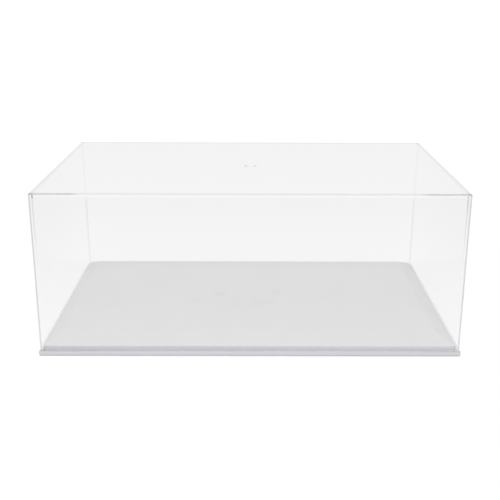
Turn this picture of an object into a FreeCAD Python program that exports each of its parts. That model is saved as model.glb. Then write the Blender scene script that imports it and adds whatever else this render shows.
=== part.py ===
"""Display case for a scale model: a clear moulded cover that stands on a moulded base.

Millimetres, +Z up, +X along the case, the front towards -Y. The origin is in the middle of the
base, on the surface that the case stands on.
"""
import FreeCAD
import Part
import Sketcher
import math
import os

from FreeCAD import Placement, Rotation, Vector

SAME = 1e-4

doc = FreeCAD.newDocument("display_case")


# Driving dimensions

SIZES = [
    ("case_length", 325.4, "base rim, left to right"),
    ("case_width", 165, "base rim, front to back"),
    ("rim_height", 4.1, "from the table to the ledge that the cover stands on"),
    ("rim_corner_radius", 1.6, "rim corners, seen from above"),
    ("rim_top_round", 1.2, "rounded upper edge of the rim"),
    ("rim_bottom_round", 1, "rounded lower edge of the rim"),
    ("rim_lip", 1.2, "ledge left showing outside the cover"),
    ("step_height", 2.8, "upright step inside the cover wall"),
    ("step_corner_radius", 2, "step corners, seen from above"),
    ("bevel_run", 13, "bevel, measured level"),
    ("bevel_rise", 6.75, "bevel, measured upright"),
    ("plateau_corner_radius", 2, "plateau corners, seen from above"),
    ("plateau_edge_round", 1, "edge between bevel and plateau"),
    ("base_wall", 2.2, "moulded wall of the base"),
    ("core_corner_radius", 1.5, "corners of the hollow under the base"),
    ("rib_count", 4, "cross ribs under the base"),
    ("rib_thickness", 1.4, "each cross rib"),
    ("rib_lift", 1.5, "from the table to the lower edge of the ribs"),
    ("cover_height", 125.8, "cover, outside"),
    ("cover_wall", 1.6, "side walls of the cover"),
    ("cover_top", 2.4, "top of the cover"),
    ("cover_draft", 1.3, "lean of the cover walls, in degrees"),
    ("cover_corner_radius", 0.8, "outer upright edges of the cover"),
    ("cover_edge_round", 0.7, "outer top edges of the cover"),
    ("cover_inner_round", 0.5, "inner edges of the cover"),
    ("seat_clearance", 0.75, "between the cover wall and the step, each side"),
    ("seat_gap", 0.1, "air under the cover's foot, which touches at a few high spots only"),
    ("gate_diameter", 10, "round gate mark in the top of the cover"),
    ("gate_depth", 0.35, "depth of the gate recess, and of the boss under it"),
    ("gate_round", 0.15, "edges of the gate mark"),
]

sizes = doc.addObject("Spreadsheet::Sheet", "sizes")
for row, (alias, value, note) in enumerate(SIZES, 1):
    sizes.set(f"A{row}", alias)
    sizes.set(f"B{row}", str(value))
    sizes.set(f"C{row}", note)
    sizes.setAlias(f"B{row}", alias)
doc.recompute()


# Sizes worked out from the driving dimensions

COVER_LENGTH = "(sizes.case_length - 2 * sizes.rim_lip)"
COVER_WIDTH = "(sizes.case_width - 2 * sizes.rim_lip)"
STEP_INSET = "(sizes.cover_wall + sizes.seat_clearance)"
STEP_LENGTH = f"({COVER_LENGTH} - 2 * {STEP_INSET})"
STEP_WIDTH = f"({COVER_WIDTH} - 2 * {STEP_INSET})"
STEP_TOP = "(sizes.rim_height + sizes.step_height)"
PLATEAU_TOP = f"({STEP_TOP} + sizes.bevel_rise)"
BEVEL_SLOPE = "(sizes.bevel_rise / sizes.bevel_run)"

CORE_LENGTH = f"({STEP_LENGTH} - 2 * sizes.base_wall)"
CORE_WIDTH = f"({STEP_WIDTH} - 2 * sizes.base_wall)"
CORE_TOP = f"({PLATEAU_TOP} - sizes.base_wall)"
CORE_STEP_TOP = (
    f"({STEP_TOP} + sizes.base_wall * {BEVEL_SLOPE}"
    f" - sizes.base_wall * sqrt(1 + {BEVEL_SLOPE} ^ 2))"
)
CORE_RUN = f"(({CORE_TOP} - {CORE_STEP_TOP}) / {BEVEL_SLOPE})"
RIB_PITCH = f"({CORE_LENGTH} / (sizes.rib_count + 1))"

COVER_FOOT = "(sizes.rim_height + sizes.seat_gap)"
COVER_TOP = f"({COVER_FOOT} + sizes.cover_height)"
COVER_CEILING = f"({COVER_TOP} - sizes.cover_top)"


def measure(expression):
    """The number, in millimetres, that an expression over the sheet comes to."""
    return float(sizes.evalExpression(expression))


def origin_item(body, role):
    """One of a body's own origin planes or axes."""
    return next(item for item in body.Origin.OriginFeatures if item.Role == role)


def level_sketch(body, name, height):
    """An empty sketch on a level plane at a height above the table."""
    sketch = body.newObject("Sketcher::SketchObject", name)
    sketch.AttachmentSupport = [(origin_item(body, "XY_Plane"), "")]
    sketch.MapMode = "FlatFace"
    sketch.setExpression("AttachmentOffset.Base.z", height)
    return sketch


def name_constraints(sketch, rows):
    """Sized constraints, each with a name and bound to an expression over the sheet."""
    for label, constraint, expression in rows:
        index = sketch.addConstraint(constraint)
        sketch.renameConstraint(index, label)
        sketch.setExpression(f"Constraints.{label}", expression)


def rectangle(body, name, length, width, height, middle="0"):
    """A level sketch of a rectangle, with its middle on the X axis."""
    sketch = level_sketch(body, name, height)
    half_length = measure(length) / 2
    half_width = measure(width) / 2
    shift = measure(middle)
    corners = [
        Vector(shift - half_length, -half_width, 0),
        Vector(shift + half_length, -half_width, 0),
        Vector(shift + half_length, half_width, 0),
        Vector(shift - half_length, half_width, 0),
    ]
    for start, end in zip(corners, corners[1:] + corners[:1]):
        sketch.addGeometry(Part.LineSegment(start, end), False)
    front, right, back, left = range(4)
    for side, following in ((front, right), (right, back), (back, left), (left, front)):
        sketch.addConstraint(Sketcher.Constraint("Coincident", side, 2, following, 1))
    for side in (front, back):
        sketch.addConstraint(Sketcher.Constraint("Horizontal", side))
    for side in (right, left):
        sketch.addConstraint(Sketcher.Constraint("Vertical", side))
    name_constraints(sketch, [
        ("length", Sketcher.Constraint("DistanceX", front, 1, front, 2, 2 * half_length), length),
        ("width", Sketcher.Constraint("DistanceY", right, 1, right, 2, 2 * half_width), width),
        ("right_side", Sketcher.Constraint("DistanceX", -1, 1, right, 1, shift + half_length),
         f"{middle} + {length} / 2"),
        ("back_side", Sketcher.Constraint("DistanceY", -1, 1, right, 2, half_width), f"{width} / 2"),
    ])
    return sketch


def rounded_rectangle(body, name, length, width, radius, height):
    """A level sketch of a rectangle with round corners, in the middle of the case."""
    sketch = level_sketch(body, name, height)
    half_length = measure(length) / 2
    half_width = measure(width) / 2
    round_size = measure(radius)
    inner_x = half_length - round_size
    inner_y = half_width - round_size
    centres = [(inner_x, inner_y), (-inner_x, inner_y), (-inner_x, -inner_y), (inner_x, -inner_y)]
    corners = []
    for turn, (x, y) in enumerate(centres):
        circle = Part.Circle(Vector(x, y, 0), Vector(0, 0, 1), round_size)
        corners.append(Part.ArcOfCircle(circle, turn * math.pi / 2, (turn + 1) * math.pi / 2))
    for corner in corners:
        sketch.addGeometry(corner, False)
    for corner, following in zip(corners, corners[1:] + corners[:1]):
        sketch.addGeometry(Part.LineSegment(corner.EndPoint, following.StartPoint), False)
    back, left, front, right = range(4, 8)
    for turn, side in enumerate((back, left, front, right)):
        sketch.addConstraint(Sketcher.Constraint("Tangent", turn, 2, side, 1))
        sketch.addConstraint(Sketcher.Constraint("Tangent", side, 2, (turn + 1) % 4, 1))
    for side in (back, front):
        sketch.addConstraint(Sketcher.Constraint("Horizontal", side))
    for side in (left, right):
        sketch.addConstraint(Sketcher.Constraint("Vertical", side))
    for turn in range(1, 4):
        sketch.addConstraint(Sketcher.Constraint("Equal", 0, turn))
    name_constraints(sketch, [
        ("radius", Sketcher.Constraint("Radius", 0, round_size), radius),
        ("right_side", Sketcher.Constraint("DistanceX", -1, 1, right, 1, half_length), f"{length} / 2"),
        ("left_side", Sketcher.Constraint("DistanceX", left, 1, -1, 1, half_length), f"{length} / 2"),
        ("back_side", Sketcher.Constraint("DistanceY", -1, 1, back, 1, half_width), f"{width} / 2"),
        ("front_side", Sketcher.Constraint("DistanceY", front, 1, -1, 1, half_width), f"{width} / 2"),
    ])
    return sketch


def disc(body, name, diameter, height):
    """A level sketch of a circle round the Z axis."""
    sketch = level_sketch(body, name, height)
    circle = Part.Circle(Vector(0, 0, 0), Vector(0, 0, 1), measure(diameter) / 2)
    sketch.addGeometry(circle, False)
    sketch.addConstraint(Sketcher.Constraint("Coincident", 0, 3, -1, 1))
    name_constraints(sketch, [
        ("diameter", Sketcher.Constraint("Diameter", 0, measure(diameter)), diameter),
    ])
    return sketch


def pad(body, name, sketch, height, downwards=False):
    """Material on a sketch."""
    feature = body.newObject("PartDesign::Pad", name)
    feature.Profile = sketch
    feature.Reversed = downwards
    feature.setExpression("Length", height)
    doc.recompute()
    return feature


def pocket(body, name, sketch, depth, upwards=False):
    """A hollow cut from a sketch."""
    before = body.Shape.Volume
    feature = body.newObject("PartDesign::Pocket", name)
    feature.Profile = sketch
    feature.Reversed = upwards
    feature.setExpression("Length", depth)
    doc.recompute()
    if not body.Shape.Volume < before:
        raise RuntimeError(f"{name} cuts nothing")
    return feature


def chosen(kind, items, wanted):
    """Names, such as Edge3 or Face1, of the edges or faces that a test picks out."""
    names = [f"{kind}{number}" for number, item in enumerate(items, 1) if wanted(item)]
    if not names:
        raise RuntimeError(f"no {kind} found")
    return names


def rounded(body, name, radius, wanted):
    """A fillet on some of a body's edges."""
    tip = body.Tip
    feature = body.newObject("PartDesign::Fillet", name)
    feature.Base = (tip, chosen("Edge", tip.Shape.Edges, wanted))
    feature.setExpression("Radius", radius)
    doc.recompute()


def lofted(body, name, lower, upper):
    """Material ruled straight from one outline to another above it."""
    feature = body.newObject("PartDesign::AdditiveLoft", name)
    feature.Profile = lower
    feature.Sections = [upper]
    feature.Ruled = True
    doc.recompute()


def drafted(body, name, angle, foot, wanted, hollow_side=False):
    """Upright walls leaned in about the level face at their foot."""
    tip = body.Tip
    feature = body.newObject("PartDesign::Draft", name)
    feature.Base = (tip, chosen("Face", tip.Shape.Faces, wanted))
    feature.NeutralPlane = (tip, chosen("Face", tip.Shape.Faces, spanning(foot, foot)))
    feature.Reversed = hollow_side
    feature.setExpression("Angle", angle)
    doc.recompute()


def near(value, target):
    """Whether two heights or lengths are the same."""
    return math.isclose(value, target, abs_tol=SAME)


def spanning(low, high):
    """A test for edges or faces that reach exactly from one height to another."""
    bottom = measure(low)
    top = measure(high)
    return lambda item: near(item.BoundBox.ZMin, bottom) and near(item.BoundBox.ZMax, top)


def circle_of(diameter):
    """A test for full circles of a diameter."""
    girth = math.pi * measure(diameter)
    return lambda edge: edge.isClosed() and near(edge.Length, girth)


# Outer form of the base

outside = doc.addObject("PartDesign::Body", "base_outside")

rim = rounded_rectangle(
    outside, "rim_outline", "sizes.case_length", "sizes.case_width", "sizes.rim_corner_radius", "0",
)
pad(outside, "rim_plate", rim, "sizes.rim_height")
rounded(outside, "rim_upper_edge", "sizes.rim_top_round", spanning("sizes.rim_height", "sizes.rim_height"))
rounded(outside, "rim_lower_edge", "sizes.rim_bottom_round", spanning("0", "0"))

step = rounded_rectangle(
    outside, "step_outline", STEP_LENGTH, STEP_WIDTH, "sizes.step_corner_radius", "sizes.rim_height",
)
pad(outside, "step_block", step, "sizes.step_height")
bevel_foot = rounded_rectangle(
    outside, "bevel_foot", STEP_LENGTH, STEP_WIDTH, "sizes.step_corner_radius", STEP_TOP,
)
plateau = rounded_rectangle(
    outside, "plateau_outline",
    f"({STEP_LENGTH} - 2 * sizes.bevel_run)", f"({STEP_WIDTH} - 2 * sizes.bevel_run)",
    "sizes.plateau_corner_radius", PLATEAU_TOP,
)
lofted(outside, "bevel", bevel_foot, plateau)
rounded(outside, "plateau_edge", "sizes.plateau_edge_round", spanning(PLATEAU_TOP, PLATEAU_TOP))


# Hollow under the base, one wall away from the outer form, with slots where the ribs stay

hollow = doc.addObject("PartDesign::Body", "base_hollow")

rim_core = rounded_rectangle(
    hollow, "rim_core_outline",
    "(sizes.case_length - 2 * sizes.base_wall)", "(sizes.case_width - 2 * sizes.base_wall)",
    "sizes.core_corner_radius", "0",
)
pad(hollow, "rim_core", rim_core, "sizes.rim_height - sizes.base_wall")
step_core = rounded_rectangle(
    hollow, "step_core_outline", CORE_LENGTH, CORE_WIDTH, "sizes.core_corner_radius", "0",
)
pad(hollow, "step_core", step_core, CORE_STEP_TOP)
core_foot = rounded_rectangle(
    hollow, "core_bevel_foot", CORE_LENGTH, CORE_WIDTH, "sizes.core_corner_radius", CORE_STEP_TOP,
)
core_ceiling = rounded_rectangle(
    hollow, "core_ceiling",
    f"({CORE_LENGTH} - 2 * {CORE_RUN})", f"({CORE_WIDTH} - 2 * {CORE_RUN})",
    "sizes.core_corner_radius", CORE_TOP,
)
lofted(hollow, "core_bevel", core_foot, core_ceiling)

first_rib = rectangle(
    hollow, "rib_outline", "sizes.rib_thickness", "sizes.case_width", "sizes.rib_lift",
    f"(-{RIB_PITCH} * (sizes.rib_count - 1) / 2)",
)
rib_slot = pocket(hollow, "rib_slot", first_rib, PLATEAU_TOP, upwards=True)
rib_slots = hollow.newObject("PartDesign::LinearPattern", "rib_slots")
rib_slots.Originals = [rib_slot]
rib_slots.Direction = (origin_item(hollow, "X_Axis"), [""])
rib_slots.setExpression("Length", f"{RIB_PITCH} * (sizes.rib_count - 1)")
rib_slots.setExpression("Occurrences", "sizes.rib_count")
hollow.Tip = rib_slots
doc.recompute()


# Base

base = doc.addObject("Part::Cut", "base")
base.Base = outside
base.Tool = hollow
base.Label = "base"
base.Placement = Placement(Vector(0, 0, 0), Rotation())


# Clear cover

cover = doc.addObject("PartDesign::Body", "clear_cover")
cover.Label = "clear_cover"
cover.Placement = Placement(Vector(0, 0, 0), Rotation())

cover_foot = rectangle(cover, "cover_outline", COVER_LENGTH, COVER_WIDTH, COVER_FOOT)
pad(cover, "cover_block", cover_foot, "sizes.cover_height")
room = rectangle(
    cover, "room_outline",
    f"({COVER_LENGTH} - 2 * sizes.cover_wall)", f"({COVER_WIDTH} - 2 * sizes.cover_wall)",
    COVER_FOOT,
)
pocket(cover, "room", room, "sizes.cover_height - sizes.cover_top", upwards=True)

outer_wall = spanning(COVER_FOOT, COVER_TOP)
room_wall = spanning(COVER_FOOT, COVER_CEILING)
drafted(cover, "room_draft", "sizes.cover_draft", COVER_FOOT, room_wall, hollow_side=True)
drafted(cover, "cover_draft", "sizes.cover_draft", COVER_FOOT, outer_wall)
rounded(cover, "cover_corners", "sizes.cover_corner_radius", outer_wall)
rounded(cover, "cover_edges", "sizes.cover_edge_round", spanning(COVER_TOP, COVER_TOP))
rounded(cover, "room_corners", "sizes.cover_inner_round", room_wall)
rounded(cover, "room_edges", "sizes.cover_inner_round", spanning(COVER_CEILING, COVER_CEILING))

gate = disc(cover, "gate_outline", "sizes.gate_diameter", COVER_TOP)
pocket(cover, "gate_recess", gate, "sizes.gate_depth")
gate_under = disc(cover, "gate_boss_outline", "sizes.gate_diameter", COVER_CEILING)
pad(cover, "gate_boss", gate_under, "sizes.gate_depth", downwards=True)
rounded(cover, "gate_edges", "sizes.gate_round", circle_of("sizes.gate_diameter"))


# Checks and files

doc.recompute()
for item in doc.Objects:
    if "Invalid" in item.State or "Error" in item.State:
        raise RuntimeError(f"{item.Name} failed: {item.State}")

os.makedirs("parts", exist_ok=True)
for piece in (base, cover):
    shape = piece.Shape
    if shape.isNull() or not shape.isValid() or len(shape.Solids) != 1:
        raise RuntimeError(f"{piece.Label} is not one sound solid")
    shape.exportStep(f"parts/{piece.Label}.step")
    box = shape.optimalBoundingBox(False)
    print(f"{piece.Label}: {box.XLength:.2f} x {box.YLength:.2f} x {box.ZLength:.2f} mm,"
          f" z {box.ZMin:.2f} to {box.ZMax:.2f}, {shape.Volume / 1000:.1f} cm3, {len(shape.Faces)} faces")
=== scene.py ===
# %% [markdown]
# # A display case for a scale model
# The real case is two mouldings: a light grey base with a bevelled plateau, and a clear cover that
# is lifted straight off it. Both could be modelled again here, but their exact solids come with the
# frame, so they are loaded as they are, and this lesson spends its effort on finish and light.

import math

import bpy
from mathutils import Matrix, Vector


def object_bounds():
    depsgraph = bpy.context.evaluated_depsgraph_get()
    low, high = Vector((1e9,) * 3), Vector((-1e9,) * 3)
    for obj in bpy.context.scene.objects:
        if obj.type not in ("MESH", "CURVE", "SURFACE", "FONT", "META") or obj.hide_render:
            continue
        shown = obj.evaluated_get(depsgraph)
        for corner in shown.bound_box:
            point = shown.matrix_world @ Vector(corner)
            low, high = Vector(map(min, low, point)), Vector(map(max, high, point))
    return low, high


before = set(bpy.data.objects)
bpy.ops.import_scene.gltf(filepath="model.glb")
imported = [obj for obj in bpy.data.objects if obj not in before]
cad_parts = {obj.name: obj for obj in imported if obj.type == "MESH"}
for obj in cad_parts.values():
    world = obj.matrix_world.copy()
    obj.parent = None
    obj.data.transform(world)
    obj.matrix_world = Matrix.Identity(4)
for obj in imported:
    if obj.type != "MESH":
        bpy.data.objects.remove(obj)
scene = bpy.context.scene
cad_low, cad_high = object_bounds()
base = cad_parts["base"]
clear_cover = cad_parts["clear_cover"]
print("case measures", [round(high - low, 4) for low, high in zip(cad_low, cad_high)], "m")

# %% [markdown]
# ## Where the photographer stood
# A case like this is photographed from a little above its lid, so that the lid, the front and the
# whole plateau show. A camera can be placed by eye, but here its distance, tilt and lens were
# worked out from the corners of the cover, because the edges of a clear box only line up from one
# place.

# %% Camera
LENS_MM = 46.72
SENSOR_MM = 36.0
CAMERA_PLACE = Vector((-0.0005, -0.5168, 0.2745))
CAMERA_PITCH = math.radians(19.17)
CAMERA_YAW = 0.003
CAMERA_ROLL = 0.0034
FRAME_SHIFT = (-0.003, -0.0896)
NEAR_CLIP = 0.01

lens = bpy.data.cameras.new("camera")
lens.lens = LENS_MM
lens.sensor_width = SENSOR_MM
lens.shift_x, lens.shift_y = FRAME_SHIFT
lens.clip_start = NEAR_CLIP
camera = bpy.data.objects.new("camera", lens)
camera.matrix_world = (
    Matrix.Translation(CAMERA_PLACE)
    @ Matrix.Rotation(-CAMERA_YAW, 4, "Z")
    @ Matrix.Rotation(math.pi / 2 - CAMERA_PITCH, 4, "X")
    @ Matrix.Rotation(CAMERA_ROLL, 4, "Z")
)
scene.collection.objects.link(camera)
scene.camera = camera
print("camera stands", round(-CAMERA_PLACE.y, 3), "m in front of the middle of the case")

# %% [markdown]
# ## Helpers for node trees
# Every finish below is a tree of nodes. They could be wired by hand in the editor, but a few
# helpers keep the trees readable and repeatable: `place` makes a node and fills its sockets, with a
# plain value or a wire from another node, and the others make sums, node groups and materials.


# %% Node helpers
def place(tree, kind, sockets=None, **settings):
    """A node with its settings made and its sockets filled, by value or by wire."""
    node = tree.nodes.new(kind)
    for name, value in settings.items():
        setattr(node, name, value)
    for name, value in (sockets or {}).items():
        if isinstance(value, bpy.types.NodeSocket):
            tree.links.new(value, node.inputs[name])
        else:
            node.inputs[name].default_value = value
    return node


def arithmetic(tree, operation, first, second=0.0, third=0.0):
    """The result of one sum on sockets or numbers."""
    sockets = {0: first, 1: second, 2: third}
    return place(tree, "ShaderNodeMath", sockets, operation=operation).outputs[0]


def effect(name, inputs, outputs):
    """An empty node group with named number sockets, and its input and output sockets."""
    group = bpy.data.node_groups.new(name, "ShaderNodeTree")
    for label, value in inputs.items():
        socket = group.interface.new_socket(label, in_out="INPUT", socket_type="NodeSocketFloat")
        socket.default_value = value
    for label in outputs:
        group.interface.new_socket(label, in_out="OUTPUT", socket_type="NodeSocketFloat")
    group_in = group.nodes.new("NodeGroupInput")
    group_out = group.nodes.new("NodeGroupOutput")
    return group, group_in.outputs, group_out.inputs


def with_effect(tree, group, **values):
    """The outputs of an effect that is placed in a tree with its own values."""
    node = place(tree, "ShaderNodeGroup", node_tree=group)
    for label, value in values.items():
        node.inputs[label].default_value = value
    return node.outputs


def finish_tree(name):
    """A material with an empty tree, and its output node."""
    material = bpy.data.materials.new(name)
    material.use_nodes = True
    material.node_tree.nodes.clear()
    return material, material.node_tree, place(material.node_tree, "ShaderNodeOutputMaterial")


print("node helpers ready")

# %% [markdown]
# ## Effects that both mouldings share
# No moulded wall is quite flat: the melt cools unevenly and leaves a slow ripple, and hands leave a
# faint haze on it. Both mouldings have both, in different amounts, so each is a node group that is
# built once. They read object coordinates, which are metres here, so a size is a real size.

# %% Slow ripple of a moulded wall
ripple, ripple_in, ripple_out = effect("moulded_ripple", {"Length": 0.05}, ["Height"])
ripple_place = place(ripple, "ShaderNodeTexCoord").outputs["Object"]
ripple_noise = place(ripple, "ShaderNodeTexNoise", {
    "Vector": ripple_place,
    "Scale": arithmetic(ripple, "DIVIDE", 1.0, ripple_in["Length"]),
    "Detail": 2.0,
    "Roughness": 0.4,
})
ripple.links.new(ripple_noise.outputs["Fac"], ripple_out["Height"])
print("effect", ripple.name)

# %% Faint haze from handling
HAZE_START = 0.9
HAZE_FULL = 0.8

haze, haze_in, haze_out = effect("handling_haze", {"Size": 0.03, "Cover": 0.5}, ["Mask"])
haze_place = place(haze, "ShaderNodeTexCoord").outputs["Object"]
haze_noise = place(haze, "ShaderNodeTexNoise", {
    "Vector": haze_place,
    "Scale": arithmetic(haze, "DIVIDE", 1.0, haze_in["Size"]),
    "Detail": 5.0,
    "Roughness": 0.62,
    "Distortion": 0.6,
})
haze_edge = place(haze, "ShaderNodeMapRange", {
    "Value": haze_noise.outputs["Fac"],
    "From Min": arithmetic(haze, "SUBTRACT", HAZE_START, haze_in["Cover"]),
    "From Max": HAZE_FULL,
}, interpolation_type="SMOOTHSTEP")
haze.links.new(haze_edge.outputs["Result"], haze_out["Mask"])
print("effect", haze.name)

# %% [markdown]
# ## Helpers for masks
# A finish that changes over a piece needs masks: numbers from 0 to 1 that say how much of a tint a
# spot gets. They could be painted as vertex colours, but the solids are not cut up for that, so the
# masks are worked out from where a spot lies. Places and sizes in them are in millimetres.

# %% Mask helpers
MM_PER_M = 1000.0


def spot_in_mm(tree):
    """Where a spot lies on the object: its coordinates in metres, and X, Y and Z in mm."""
    spot = place(tree, "ShaderNodeTexCoord").outputs["Object"]
    sockets = {"Vector": spot, "Scale": MM_PER_M}
    scaled = place(tree, "ShaderNodeVectorMath", sockets, operation="SCALE").outputs["Vector"]
    return spot, place(tree, "ShaderNodeSeparateXYZ", {"Vector": scaled}).outputs


def axis_distance(tree, spot):
    """How far a spot is from the upright axis, measured level."""
    sockets = {0: spot, 1: (1, 1, 0)}
    level = place(tree, "ShaderNodeVectorMath", sockets, operation="MULTIPLY").outputs[0]
    return place(tree, "ShaderNodeVectorMath", {0: level}, operation="LENGTH").outputs["Value"]


def fade(tree, value, start, end):
    """A mask that goes smoothly from 0 at one value to 1 at another."""
    return place(tree, "ShaderNodeMapRange", {
        "Value": value, "From Min": start, "From Max": end,
    }, interpolation_type="SMOOTHSTEP").outputs["Result"]


def product(tree, first, *others):
    """All the masks or numbers multiplied."""
    for other in others:
        first = arithmetic(tree, "MULTIPLY", first, other)
    return first


def window(tree, value, span, soft):
    """A mask that is 1 between two values and fades out over a soft width at both."""
    low, high = span
    return product(tree, fade(tree, value, low - soft, low), fade(tree, value, high + soft, high))


def strongest(tree, first, *others):
    """The highest of several masks at each spot."""
    for other in others:
        first = arithmetic(tree, "MAXIMUM", first, other)
    return first


def without(tree, mask):
    """The opposite of a mask."""
    return arithmetic(tree, "SUBTRACT", 1.0, mask)


def between(tree, mask, low, high):
    """A number that goes from low where a mask is 0 to high where it is 1."""
    return arithmetic(tree, "MULTIPLY_ADD", mask, high - low, low)


def tinted(tree, colour, other, share):
    """One colour with a share of another mixed in."""
    sockets = {"Factor": share, "A": colour, "B": other}
    return place(tree, "ShaderNodeMix", sockets, data_type="RGBA").outputs["Result"]


print("mask helpers ready")

# %% [markdown]
# ## Tone of the base
# The base is a pale grey moulding that has dulled unevenly. The back of the plateau is painted
# darker, which is painted shade, and its front half paler, which is painted light. Lamps alone could
# give these shades, but under an even tent they all but vanish, so they are in the colour.

# %% Tone of plateau and bevel
BASE_GREY = (0.815, 0.815, 0.815, 1.0)
DULL_GREY = (0.785, 0.785, 0.79, 1.0)
# The next grey is painted shade at the back of the plateau and the colour of the darker spots.
SHADE_AND_SPOT_GREY = (0.70, 0.70, 0.705, 1.0)
LIT_FRONT_GREY = (0.84, 0.84, 0.84, 1.0)
DULL_SHARE = 0.5
BACK_SHARE = 0.2
FRONT_SHARE = 0.32
PLATEAU_RISE = (13.2, 13.5)

base_plastic, tree, output = finish_tree("base_plastic")
spot, mm = spot_in_mm(tree)
on_plateau = fade(tree, mm["Z"], *PLATEAU_RISE)
dull = with_effect(tree, haze, Size=0.045, Cover=0.5)["Mask"]
tone = tinted(tree, BASE_GREY, DULL_GREY, product(tree, dull, DULL_SHARE))
# Painted shade: the back of the plateau is darker.
back = fade(tree, mm["Y"], 48, 66)
tone = tinted(tree, tone, SHADE_AND_SPOT_GREY, product(tree, back, BACK_SHARE))
# Painted light: the front half of the plateau is paler.
front_half = product(tree, fade(tree, mm["Y"], 0, -64), on_plateau)
tone = tinted(tree, tone, LIT_FRONT_GREY, product(tree, front_half, FRONT_SHARE))
print("plateau and bevel toned")

# %% [markdown]
# ## Darker spots on the plateau
# A few faint darker spots lie near the middle of the plateau. They could be painted into a
# picture, but each is only a soft oval, so a short list of ovals, broken up by the haze, does the
# same at any size. An oval has a middle and a reach in metres, a turn in degrees and a strength.

# %% Darker spots
DARK_SPOTS = [
    ((-0.006, -0.019), (0.036, 0.024), 0.0, 0.14),
    ((-0.026, -0.004), (0.008, 0.008), 0.0, 0.75),
    ((0.023, 0.0), (0.009, 0.007), 15.0, 0.45),
    ((0.012, -0.02), (0.018, 0.010), 35.0, 0.3),
    ((-0.047, -0.0165), (0.014, 0.003), 24.0, 0.7),
]
SPOT_BREAKUP_SHARE = (0.5, 1.2)

spot_breakup = with_effect(tree, haze, Size=0.02, Cover=0.5)["Mask"]
darker = 0.0
for middle, reach, turn, strength in DARK_SPOTS:
    oval = place(tree, "ShaderNodeMapping", {
        "Vector": spot,
        "Location": (*middle, 0.0),
        "Rotation": (0.0, 0.0, math.radians(turn)),
        "Scale": (*reach, 1.0),
    }, vector_type="TEXTURE").outputs["Vector"]
    in_oval = fade(tree, axis_distance(tree, oval), 1.0, 0.2)
    darker = strongest(tree, product(tree, in_oval, strength), darker)
darker = product(tree, darker, between(tree, spot_breakup, *SPOT_BREAKUP_SHARE), on_plateau)
tone = tinted(tree, tone, SHADE_AND_SPOT_GREY, darker)
print(len(DARK_SPOTS), "worn spots on the plateau")

# %% [markdown]
# ## Step, rim and seat of the base
# Along the long sides, the upright step and the rim catch less of the light and look cooler. The
# step is painted paler and violet, which is painted light, and the rim a cooler grey, which is
# painted shade. The darkest places, the seat of the cover and where the rim rolls over and under,
# are painted shade. Lamps alone would need a dark room round the case for this, so it is a tint by
# height, stronger towards the ends.

# %% Step, rim and seat
STEP_LIT_GREY = (0.92, 0.912, 0.952, 1.0)
STEP_FOOT_LIT = (0.955, 0.946, 0.988, 1.0)
RIM_SHADE_GREY = (0.80, 0.791, 0.83, 1.0)
DEEP_SHADE_GREY = (0.36, 0.345, 0.38, 1.0)
LEFT_END = (-60, -150)
RIGHT_END = (60, 150)
END_SHARE = 0.09
RIM_TOP_SHARE = 0.33
RIM_FOOT_SHARE = (0.45, 0.61)
SEAT_SHARE = (0.2, 0.3)

across = arithmetic(tree, "ABSOLUTE", mm["Y"])
along = arithmetic(tree, "ABSOLUTE", mm["X"])
long_side = fade(tree, across, 76, 78)
# Painted light: the upright step is paler and violet, and paler still at its foot towards the right.
step = product(tree, fade(tree, mm["Z"], 7.0, 6.7), long_side)
tone = tinted(tree, tone, STEP_LIT_GREY, step)
step_foot = product(tree, step, fade(tree, mm["X"], -20, 130), fade(tree, mm["Z"], 6.2, 5.6))
tone = tinted(tree, tone, STEP_FOOT_LIT, step_foot)
# Painted shade: the rim is a cooler grey.
rim = product(tree, fade(tree, mm["Z"], 4.4, 4.2), long_side)
tone = tinted(tree, tone, RIM_SHADE_GREY, rim)

# Painted shade: the rim's top and foot and the seat of the cover are dark, more so at the ends.
end_shade = product(tree, fade(tree, along, 90, 150), END_SHARE)
rim_top_share = arithmetic(tree, "ADD", end_shade, RIM_TOP_SHARE)
rim_top = product(tree, window(tree, mm["Z"], (3.6, 4.1), 0.3), rim_top_share)
left_end = fade(tree, mm["X"], *LEFT_END)
rim_foot_share = between(tree, left_end, *RIM_FOOT_SHARE)
rim_foot = product(tree, fade(tree, mm["Z"], 1.5, 0.6), rim_foot_share)
right_end = fade(tree, mm["X"], *RIGHT_END)
seat_share = arithmetic(tree, "ADD", end_shade, between(tree, right_end, *SEAT_SHARE))
under_cover = fade(tree, across, 79.0, 80.5)
seat = product(tree, window(tree, mm["Z"], (4.0, 4.2), 0.1), under_cover, seat_share)
shaded = product(tree, strongest(tree, rim_top, rim_foot, seat), long_side)
tone = tinted(tree, tone, DEEP_SHADE_GREY, shaded)
print("tone of", base_plastic.name, "has", len(tree.nodes), "nodes")

# %% [markdown]
# ## Grain of the base
# The base is moulded in a satin tool, so it has a very fine even grain and no gloss. The grain
# could be a picture, but noise at its real size of a fraction of a millimetre holds up at any
# distance. The slow ripple of the moulding lies under it.

# %% Base plastic
BASE_IOR = 1.5
SATIN_ROUGHNESS = (0.4, 0.54)
GRAIN_SIZE = 0.0006
GRAIN_DEPTH = 0.00002
GRAIN_STRENGTH = 0.5
BASE_RIPPLE_DEPTH = 0.00004
RIPPLE_STRENGTH = 0.3

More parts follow.
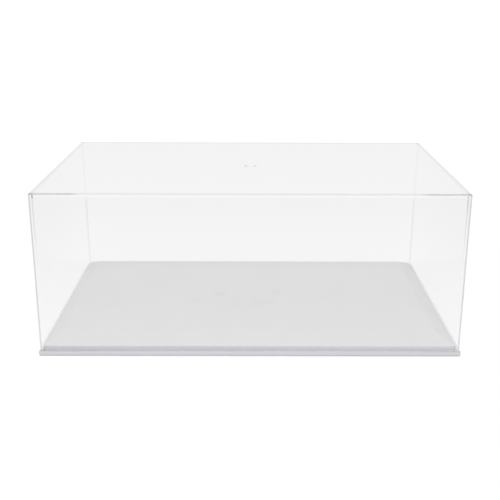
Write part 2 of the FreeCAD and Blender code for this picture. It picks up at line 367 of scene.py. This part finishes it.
wave = with_effect(tree, ripple, Length=0.08)["Height"]
slow = place(tree, "ShaderNodeBump", {
    "Strength": RIPPLE_STRENGTH, "Distance": BASE_RIPPLE_DEPTH, "Height": wave,
}).outputs["Normal"]
grain = place(tree, "ShaderNodeTexNoise", {
    "Vector": spot, "Scale": 1.0 / GRAIN_SIZE, "Detail": 3.0, "Roughness": 0.6,
}).outputs["Fac"]
bump = place(tree, "ShaderNodeBump", {
    "Strength": GRAIN_STRENGTH, "Distance": GRAIN_DEPTH, "Height": grain, "Normal": slow,
}).outputs["Normal"]
shader = place(tree, "ShaderNodeBsdfPrincipled", {
    "Base Color": tone,
    "Roughness": between(tree, grain, *SATIN_ROUGHNESS),
    "Normal": bump,
    "IOR": BASE_IOR,
})
tree.links.new(shader.outputs["BSDF"], output.inputs["Surface"])
base.data.materials[0] = base_plastic
print("base finished in", base_plastic.name)

# %% [markdown]
# ## Where the edges of the cover are
# The cover is polished clear plastic, and its edges look quite unlike its flats, so the finish has
# to know how far a spot is from each edge. That could be painted on the mesh, but the cover is a
# plain box with leaning walls, so a few sums on object coordinates give the same and stay sharp.

# %% Distances from the edges
COVER_HALF_LENGTH = 161.5
COVER_HALF_WIDTH = 81.3
COVER_FOOT = 4.2
COVER_TOP = 130.0
COVER_LEAN = 0.02269
SKIN = (1.1, 0.6)
TOP_RISE = (129.2, 129.6)
FRONT_SPAN = (-74.5, -77.5)

clear_plastic, tree, output = finish_tree("clear_plastic")
spot, mm = spot_in_mm(tree)
lean = product(tree, arithmetic(tree, "SUBTRACT", mm["Z"], COVER_FOOT), COVER_LEAN)
along = arithmetic(tree, "ADD", arithmetic(tree, "ABSOLUTE", mm["X"]), lean)
across = arithmetic(tree, "ADD", arithmetic(tree, "ABSOLUTE", mm["Y"]), lean)
from_end = arithmetic(tree, "SUBTRACT", COVER_HALF_LENGTH, along)
from_side = arithmetic(tree, "SUBTRACT", COVER_HALF_WIDTH, across)
from_top = arithmetic(tree, "SUBTRACT", COVER_TOP, mm["Z"])
from_wall = arithmetic(tree, "MINIMUM", from_end, from_side)
upright_edge = arithmetic(tree, "MAXIMUM", from_end, from_side)
top_edge = arithmetic(tree, "MAXIMUM", from_wall, from_top)
corner = arithmetic(tree, "MAXIMUM", upright_edge, from_top)
depth = arithmetic(tree, "MINIMUM", from_wall, from_top)

outside = fade(tree, depth, *SKIN)
on_top = fade(tree, mm["Z"], *TOP_RISE)
on_wall = without(tree, on_top)
front_edge = fade(tree, mm["Y"], *FRONT_SPAN)
far_side = place(tree, "ShaderNodeNewGeometry").outputs["Backfacing"]
near_side = without(tree, far_side)
print("distances for", clear_plastic.name)

# %% [markdown]
# ## Tint of the clear walls and top
# Light that crosses the plastic loses a little, and it shows more towards the top of the walls. The
# tint sits on the outer faces alone and the inner ones are clear, so a line of sight loses the same
# whichever way it goes in and out. Along the top edges the plastic is seen through its full width
# and bends the light there, so they are greyer, which is painted shade, with a painted highlight, a
# bright band, below them on the near walls.

# %% Tint of walls and top
CLEAR = (1.0, 1.0, 1.0, 1.0)
WALL_FOOT = (0.968, 0.968, 0.969, 1.0)
WALL_TOP = (0.921, 0.921, 0.923, 1.0)
TOP_PANEL = (0.944, 0.944, 0.946, 1.0)
TOP_EDGE_SHADE = (0.82, 0.81, 0.84, 1.0)
HIGHLIGHT_BAND = (0.967, 0.963, 0.97, 1.0)
FRONT_STRIP_SHARE = 0.7

colour = tinted(tree, WALL_FOOT, WALL_TOP, fade(tree, mm["Z"], 0.0, COVER_TOP))
colour = tinted(tree, colour, TOP_PANEL, on_top)
# Painted shade: greyer strips along the top edges.
wide_strip = product(tree, fade(tree, top_edge, 5.0, 0.3), without(tree, front_edge))
front_strip = window(tree, top_edge, (0.7, 2.2), 0.5)
front_strip = product(tree, front_strip, front_edge, FRONT_STRIP_SHARE)
strip = product(tree, arithmetic(tree, "ADD", wide_strip, front_strip), on_top)
colour = tinted(tree, colour, TOP_EDGE_SHADE, strip)
# Painted highlight: a bright band below the top edges on the near walls.
band = product(tree, window(tree, top_edge, (0.6, 2.0), 0.2), on_wall, near_side)
colour = tinted(tree, colour, HIGHLIGHT_BAND, band)
print("walls and top tinted")

# %% [markdown]
# ## Lines along the edges
# Light that runs along inside the walls comes out at the edges, so they show as fine grey-violet
# lines: one on the edge, a second one inside it that fades downwards, and dark tips at the front
# corners. Tracing that light needs dozens of mirrorings in each wall and comes out as noise, so the
# lines are a tint too. An edge that is seen from inside, through the box, shows only a part of it.

# %% Lines along the upright edges
INNER_LINE = (0.78, 0.775, 0.79, 1.0)
OUTER_LINE = (0.69, 0.67, 0.715, 1.0)
INNER_TOP_SHARE = 0.8
SEEN_THROUGH_SHARE = (0.46, 0.16)
LOW_SHARE = (1.0, 0.78)

inner = window(tree, upright_edge, (2.8, 3.6), 0.25)
inner = product(tree, inner, fade(tree, mm["Z"], 70, 130), near_side)
inner_top = product(tree, inner, fade(tree, mm["Z"], 114, 122), fade(tree, mm["X"], -150, 150))
colour = tinted(tree, colour, INNER_LINE, inner)
colour = tinted(tree, colour, OUTER_LINE, product(tree, inner_top, INNER_TOP_SHARE))
line_share = between(tree, fade(tree, mm["Z"], 68, 78), *SEEN_THROUGH_SHARE)
line_share = strongest(tree, line_share, near_side)
low_share = between(tree, fade(tree, mm["Z"], 60, 10), *LOW_SHARE)
upright_line = product(tree, window(tree, upright_edge, (0.6, 1.4), 0.2), line_share, low_share)
print("upright lines ready")

# %% Lines along the top and the foot
CORNER_STRIP = (0.58, 0.555, 0.605, 1.0)
CORNER_DOT = (0.22, 0.21, 0.23, 1.0)
TOP_LINE_SHARE = (0.1, 0.35)
TIP_SHARE = 0.4
RIGHT_END_SHARE = 0.7
FOOT_LINE_SHARE = (0.4, 0.6)

by_corner = product(tree, fade(tree, corner, 38, 28), front_edge)
by_corner = strongest(tree, by_corner, fade(tree, corner, 12, 3))
top_share = between(tree, by_corner, *TOP_LINE_SHARE)
top_line = product(tree, fade(tree, top_edge, 0.65, 0.4), top_share)
colour = tinted(tree, colour, OUTER_LINE, strongest(tree, top_line, upright_line))
# Painted shade: a darker strip on the top by the front corners.
corner_strip = window(tree, top_edge, (0.9, 3.2), 1.0)
corner_strip = product(tree, corner_strip, by_corner, front_edge, on_top)
colour = tinted(tree, colour, CORNER_STRIP, corner_strip)
tip = product(tree, fade(tree, corner, 3.4, 1.8), on_top, front_edge, TIP_SHARE)
colour = tinted(tree, colour, CORNER_DOT, tip)
# Painted shade: a dark line along the foot of the near walls, stronger towards the ends.
right_end = product(tree, fade(tree, mm["X"], *RIGHT_END), RIGHT_END_SHARE)
by_end = strongest(tree, fade(tree, mm["X"], *LEFT_END), right_end)
foot_share = between(tree, by_end, *FOOT_LINE_SHARE)
foot_line = product(tree, fade(tree, mm["Z"], 4.95, 4.55), near_side, foot_share)
colour = tinted(tree, colour, OUTER_LINE, foot_line)
print("top and foot lines ready")

# %% [markdown]
# ## Painted shade and highlight at the corners and the gate
# Two dark dots sit at the top of the left front corner, and the foot of the front wall is dark at
# both ends, where the step of the base is mirrored in it. The gate in the middle of the top is a
# shallow round recess in the solid, whose rim is faint at the back and darker at the two ends of its
# front, with a paler dish inside. Bent light could draw all this, but it is noise at this size, so
# these marks are painted shade, a painted reflection and a painted highlight.

# %% Dots and slots at the front corners
SLOT_SHARE = (0.3, 0.6)

# Painted shade: two dark dots at the top of the left front corner.
dots = window(tree, mm["Z"], (127.3, 127.7), 0.3)
dots = strongest(tree, dots, fade(tree, mm["Z"], 128.5, 128.9))
left_front = product(tree, front_edge, on_wall, fade(tree, mm["X"], 0.0, -1.0))
dots = product(tree, dots, window(tree, upright_edge, (2.9, 3.9), 0.3), left_front)
# Painted reflection: the foot of the front wall is dark at both ends, where the step is mirrored.
slot_share = between(tree, fade(tree, mm["X"], 1.0, -1.0), *SLOT_SHARE)
slot = product(tree, fade(tree, upright_edge, 4.6, 3.6), fade(tree, upright_edge, 0.6, 1.2))
slot = product(tree, slot, window(tree, mm["Z"], (4.6, 5.2), 0.4), front_edge, slot_share)
colour = tinted(tree, colour, CORNER_DOT, strongest(tree, dots, slot))
print("corner marks ready")

# %% Gate mark in the top
GATE_SHADE_GREY = (0.72, 0.72, 0.726, 1.0)
GATE_HIGHLIGHT = (0.97, 0.97, 0.972, 1.0)
GATE_END_SHARE = 0.92
GATE_FRONT_SHARE = 0.15
GATE_BACK_SHARE = 0.1

from_axis = product(tree, axis_distance(tree, spot), MM_PER_M)
# Painted highlight: a paler dish in the middle of the gate.
gate_dish = product(tree, fade(tree, from_axis, 3.2, 1.6), on_top)
colour = tinted(tree, colour, GATE_HIGHLIGHT, gate_dish)
# Painted shade: a darker rim round the gate, darkest at the two ends of its front.
gate_rim = window(tree, from_axis, (4.0, 5.0), 0.3)
sideways = fade(tree, arithmetic(tree, "ABSOLUTE", mm["X"]), 2.4, 3.4)
gate_ends = product(tree, sideways, fade(tree, from_axis, 5.5, 5.1), GATE_END_SHARE)
gate_front = strongest(tree, gate_ends, product(tree, gate_rim, GATE_FRONT_SHARE))
gate_front = product(tree, gate_front, fade(tree, mm["Y"], 0.2, -0.9))
gate_back = product(tree, gate_rim, GATE_BACK_SHARE)
gate = product(tree, strongest(tree, gate_front, gate_back), on_top)
colour = tinted(tree, colour, GATE_SHADE_GREY, gate)
colour = tinted(tree, CLEAR, colour, outside)
print("gate mark ready")

# %% [markdown]
# ## Clear plastic as a sheet and as a solid
# On the flats light goes straight through, with a weak mirror image at a slant. A solid that bends
# light everywhere would be the obvious finish, but it fills thin walls with noise, so there are two:
# a clear sheet that bends nothing, for the flats, and a solid for the edges. The foot of the walls,
# seen from inside the plastic, always mirrors, so the seat below it doesn't show through.

# %% Sheet and solid
CLEAR_IOR = 1.55
POLISH_ROUGHNESS = 0.005
RIPPLE_DEPTH = 0.00006
IN_AND_OUT = 2.0
MIRROR_SHARE = 0.2
HEAD_ON_SHARE = 0.04
SLANT_POWER = 5.0
FOOT_SKIN = 0.02

wave = with_effect(tree, ripple, Length=0.06)["Height"]
bump = place(tree, "ShaderNodeBump", {
    "Strength": RIPPLE_STRENGTH, "Distance": RIPPLE_DEPTH, "Height": wave,
}).outputs["Normal"]
smear = with_effect(tree, haze, Size=0.06, Cover=0.45)["Mask"]
polish = product(tree, smear, POLISH_ROUGHNESS)
twice = place(tree, "ShaderNodeGamma", {"Color": colour, "Gamma": IN_AND_OUT}).outputs["Color"]
solid = place(tree, "ShaderNodeBsdfPrincipled", {
    "Base Color": twice,
    "Roughness": polish,
    "Normal": bump,
    "IOR": CLEAR_IOR,
    "Transmission Weight": 1.0,
})

through = place(tree, "ShaderNodeBsdfTransparent", {"Color": colour})
mirror = place(tree, "ShaderNodeBsdfAnisotropic", {
    "Color": CLEAR, "Roughness": polish, "Normal": bump,
})
facing = place(tree, "ShaderNodeLayerWeight", {"Blend": 0.5}).outputs["Facing"]
slant = arithmetic(tree, "POWER", facing, SLANT_POWER)
slant = between(tree, slant, HEAD_ON_SHARE * MIRROR_SHARE, MIRROR_SHARE)
foot = product(tree, arithmetic(tree, "LESS_THAN", mm["Z"], COVER_FOOT + FOOT_SKIN), far_side)
sheet = place(tree, "ShaderNodeMixShader", {0: strongest(tree, slant, foot)})
tree.links.new(through.outputs["BSDF"], sheet.inputs[1])
tree.links.new(mirror.outputs["BSDF"], sheet.inputs[2])
print("sheet and solid ready")

# %% [markdown]
# ## Where the plastic bends light
# A strip along each near edge is solid. So is the foot of the end walls, which shows the ledge of
# the base beside the bevel: there light bends on its way in, and on its way out unless it meets the
# face at too much of a slant. Real plastic would mirror that light on and on inside the wall, and a
# render would lose it, so it goes straight on. Rays towards the lamps, and light that a dull surface
# scatters, always meet the sheet.

# %% Clear plastic
ALL_MIRRORED = 1.0 - math.sqrt(1.0 - CLEAR_IOR ** -2)
JUST_BELOW = 0.99
EDGE_STRIP = (1.2, 1.5)
END_WALL = (2.6, 2.0)
END_FOOT = (9.0, 8.0)

edge = arithmetic(tree, "MINIMUM", upright_edge, top_edge)
flat = fade(tree, edge, *EDGE_STRIP)
end_foot = product(tree, fade(tree, from_end, *END_WALL), fade(tree, mm["Z"], *END_FOOT))
square_on = arithmetic(tree, "LESS_THAN", facing, JUST_BELOW * ALL_MIRRORED)
bends = product(tree, end_foot, strongest(tree, near_side, square_on))
straight = product(tree, strongest(tree, flat, far_side), without(tree, bends))
path = place(tree, "ShaderNodeLightPath").outputs
straight = strongest(tree, straight, path["Is Shadow Ray"], path["Is Diffuse Ray"])
mixed = place(tree, "ShaderNodeMixShader", {0: straight})
tree.links.new(solid.outputs["BSDF"], mixed.inputs[1])
tree.links.new(sheet.outputs["Shader"], mixed.inputs[2])
tree.links.new(mixed.outputs["Shader"], output.inputs["Surface"])
clear_cover.data.materials[0] = clear_plastic
print("cover finished in", clear_plastic.name)

# %% [markdown]
# ## White floor
# The case stands on a white sweep. A floor lit to pure white would need so much light that the base
# washes out. Instead the floor gives a white of its own to the camera and to what the cover mirrors
# or lets through, with only a share of lit paint, which is what carries the shadow.

# %% Rays that show the background
NOT_SCATTERED = 0.5


def seen_ray(tree):
    """A mask of rays that show the background: from the camera, mirrored or let through."""
    path = place(tree, "ShaderNodeLightPath").outputs
    shown = strongest(
        tree, path["Is Camera Ray"], path["Is Glossy Ray"], path["Is Transmission Ray"],
    )
    direct = arithmetic(tree, "LESS_THAN", path["Diffuse Depth"], NOT_SCATTERED)
    return product(tree, shown, direct)


print("background rays told apart")

# %% Floor
FLOOR_HALF = 20.0
FLOOR_PAINT = (0.8, 0.8, 0.8, 1.0)
FLOOR_SHADE = (0.25, 0.25, 0.25, 1.0)
FLOOR_OWN_WHITE = 0.78

floor_paint, tree, output = finish_tree("floor_paint")
lit = place(tree, "ShaderNodeBsdfDiffuse", {"Color": FLOOR_PAINT})
shade = place(tree, "ShaderNodeBsdfDiffuse", {"Color": FLOOR_SHADE})
own = place(tree, "ShaderNodeEmission", {"Strength": FLOOR_OWN_WHITE})
white = place(tree, "ShaderNodeAddShader")
tree.links.new(shade.outputs["BSDF"], white.inputs[0])
tree.links.new(own.outputs["Emission"], white.inputs[1])
mixed = place(tree, "ShaderNodeMixShader", {0: seen_ray(tree)})
tree.links.new(lit.outputs["BSDF"], mixed.inputs[1])
tree.links.new(white.outputs["Shader"], mixed.inputs[2])
tree.links.new(mixed.outputs["Shader"], output.inputs["Surface"])

quarters = ((-1, -1), (1, -1), (1, 1), (-1, 1))
corners = [(x * FLOOR_HALF, y * FLOOR_HALF, cad_low.z) for x, y in quarters]
sweep = bpy.data.meshes.new("floor")
sweep.from_pydata(corners, [], [(0, 1, 2, 3)])
sweep.materials.append(floor_paint)
floor = bpy.data.objects.new("floor", sweep)
scene.collection.objects.link(floor)
print("floor at", round(cad_low.z, 4), "m")

# %% [markdown]
# ## Soft studio light
# The light is even, as in a tent, with one soft key from almost overhead, a little to the front and
# left. Area lamps would do, but a sun of a very wide angle lights the whole floor alike. The world
# gives its light to the surfaces and plain white to every ray that shows the background.

# %% World and lamps
WHITE = (1, 1, 1, 1)
TENT_LIGHT = 0.5
KEY_POWER = 1.62
KEY_WIDTH = math.radians(70)
KEY_TILT = (math.radians(13.5), math.radians(-2.5))

world = bpy.data.worlds.new("studio")
scene.world = world
world.use_nodes = True
tree = world.node_tree
tree.nodes.clear()
output = place(tree, "ShaderNodeOutputWorld")
tent = place(tree, "ShaderNodeBackground", {"Color": WHITE, "Strength": TENT_LIGHT})
white = place(tree, "ShaderNodeBackground", {"Color": WHITE, "Strength": 1.0})
mixed = place(tree, "ShaderNodeMixShader", {0: seen_ray(tree)})
tree.links.new(tent.outputs["Background"], mixed.inputs[1])
tree.links.new(white.outputs["Background"], mixed.inputs[2])
tree.links.new(mixed.outputs["Shader"], output.inputs["Surface"])

key = bpy.data.lights.new("key", "SUN")
key.energy = KEY_POWER
key.angle = KEY_WIDTH
key_lamp = bpy.data.objects.new("key", key)
key_lamp.rotation_euler = (*KEY_TILT, 0)
key_lamp.visible_glossy = False
key_lamp.visible_transmission = False
scene.collection.objects.link(key_lamp)
scene.view_settings.view_transform = "Standard"
print("lit by the tent and", key_lamp.name)
